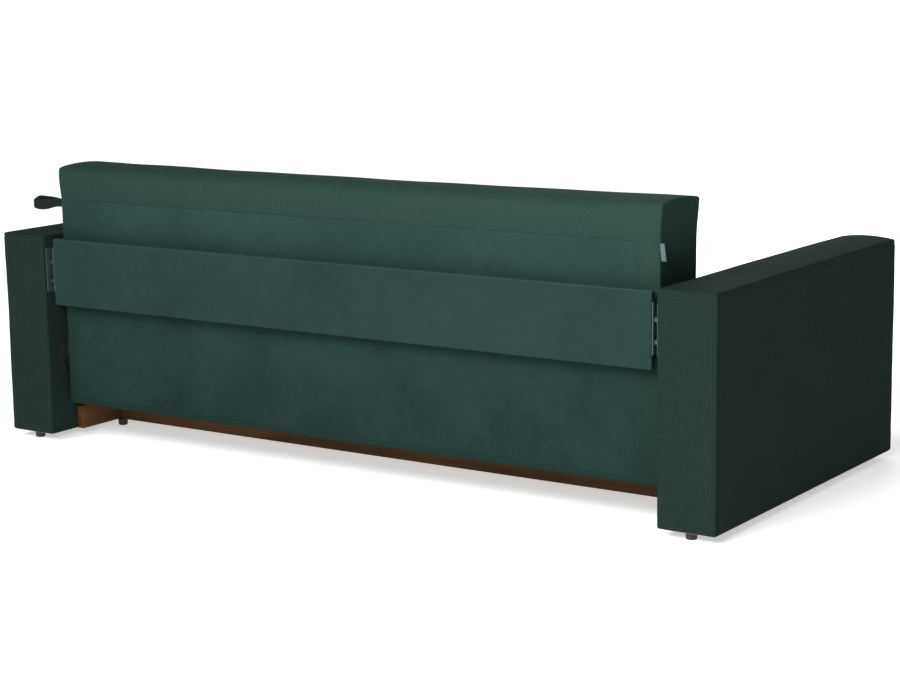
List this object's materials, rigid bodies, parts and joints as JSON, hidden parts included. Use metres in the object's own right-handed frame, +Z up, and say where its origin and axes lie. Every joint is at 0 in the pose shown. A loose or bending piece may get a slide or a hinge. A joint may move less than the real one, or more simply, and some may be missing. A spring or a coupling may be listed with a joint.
{
  "type": "futon sofa bed",
  "caption": "Sofa bed with block arms and a tall back that folds down flat as the seat is pulled forward on wheels.",
  "frame": {"origin": "on the floor under the middle of the sofa's bounding box, with the back upright", "axes": "+X along the sofa's width to the sitter's left, -Y the way the sitter faces, +Z up"},
  "size_m": [2.3, 1.04, 0.787],
  "materials": {
    "cover_cloth": "matte woven cloth, dark green",
    "lining_cloth": "thin flat woven lining, dark green",
    "foam": "open-cell foam, pale cream",
    "timber": "planed softwood, unfinished",
    "stained_timber": "softwood stained dark brown",
    "plywood": "plywood, unfinished",
    "zinc_plate": "zinc-plated pressed steel",
    "painted_plate": "dark green enamel on pressed steel",
    "black_plastic": "moulded black plastic",
    "wheel_rubber": "hard black rubber",
    "webbing": "close-woven dark webbing with a slight sheen",
    "label_cloth": "small woven label, pale teal"
  },
  "bodies": {
    "base": {"arm_carcass_left": "timber", "arm_carcass_right": "timber", "arm_inner_panel_left": "plywood", "arm_inner_panel_right": "plywood", "arm_pad_left": "foam", "arm_pad_right": "foam", "arm_cover_left": "cover_cloth", "arm_cover_right": "cover_cloth", "arm_rear_foot_left": "black_plastic", "arm_rear_foot_right": "black_plastic", "arm_front_foot_left": "black_plastic", "arm_front_foot_right": "black_plastic", "base_side_rail_left": "stained_timber", "base_side_rail_right": "stained_timber", "base_rear_rail": "stained_timber", "base_front_rail": "stained_timber", "base_foot_left": "black_plastic", "base_foot_right": "black_plastic", "rear_board_core": "plywood", "rear_board_cover": "lining_cloth", "hook_plate_left": "painted_plate", "hook_plate_right": "painted_plate", "socket_plate_left": "painted_plate", "socket_plate_right": "painted_plate", "arm_plate_left": "zinc_plate", "arm_plate_right": "zinc_plate"},
    "links": {"fold_link_left": "zinc_plate", "fold_link_right": "zinc_plate"},
    "back": {"back_end_post_left": "timber", "back_end_post_right": "timber", "back_top_rail": "timber", "back_bottom_rail": "timber", "back_deck": "plywood", "back_foam": "foam", "back_cover": "cover_cloth", "back_rear_lining": "lining_cloth", "back_plate_left": "zinc_plate", "back_plate_right": "zinc_plate", "pull_strap": "webbing", "side_label": "label_cloth"},
    "seat": {"seat_side_rail_left": "timber", "seat_side_rail_right": "timber", "seat_rear_rail": "timber", "seat_front_rail": "timber", "seat_deck": "plywood", "seat_foam": "foam", "seat_cover": "cover_cloth", "front_panel_core": "plywood", "front_panel_cover": "cover_cloth", "seat_bracket_left": "zinc_plate", "seat_bracket_right": "zinc_plate", "caster_block_left": "timber", "caster_block_right": "timber", "caster_fork_left": "zinc_plate", "caster_fork_right": "zinc_plate"},
    "caster_left": {"caster_wheel_left": "wheel_rubber"},
    "caster_right": {"caster_wheel_right": "wheel_rubber"},
    "roller_left": {"rear_roller_left": "wheel_rubber"},
    "roller_right": {"rear_roller_right": "wheel_rubber"}
  },
  "joints": [
    {"name": "link_swing", "type": "hinge", "parent": "base", "child": "links", "pos_m": [0, 0.418, 0.245], "axis": [1, 0, 0], "range_deg": [0, 90]},
    {"name": "back_fold", "type": "hinge", "parent": "links", "child": "back", "pos_m": [0, 0.418, 0.4925], "axis": [1, 0, 0], "range_deg": [-180, 0], "deforming": ["pull_strap"]},
    {"name": "seat_pull", "type": "hinge", "parent": "back", "child": "seat", "pos_m": [0, 0.418, 0.245], "axis": [1, 0, 0], "range_deg": [0, 90]},
    {"name": "caster_roll_left", "type": "hinge", "parent": "seat", "child": "caster_left", "pos_m": [0.9, -0.43, 0.025], "axis": [1, 0, 0], "continuous": true},
    {"name": "caster_roll_right", "type": "hinge", "parent": "seat", "child": "caster_right", "pos_m": [-0.9, -0.43, 0.025], "axis": [1, 0, 0], "continuous": true},
    {"name": "roller_roll_left", "type": "hinge", "parent": "seat", "child": "roller_left", "pos_m": [0.98, 0.168, 0.11625], "axis": [1, 0, 0], "continuous": true},
    {"name": "roller_roll_right", "type": "hinge", "parent": "seat", "child": "roller_right", "pos_m": [-0.98, 0.168, 0.11625], "axis": [1, 0, 0], "continuous": true}
  ],
  "couplings": [
    {"joint": "back_fold", "follows": "link_swing", "ratio": -2},
    {"joint": "seat_pull", "follows": "link_swing", "ratio": 1}
  ]
}
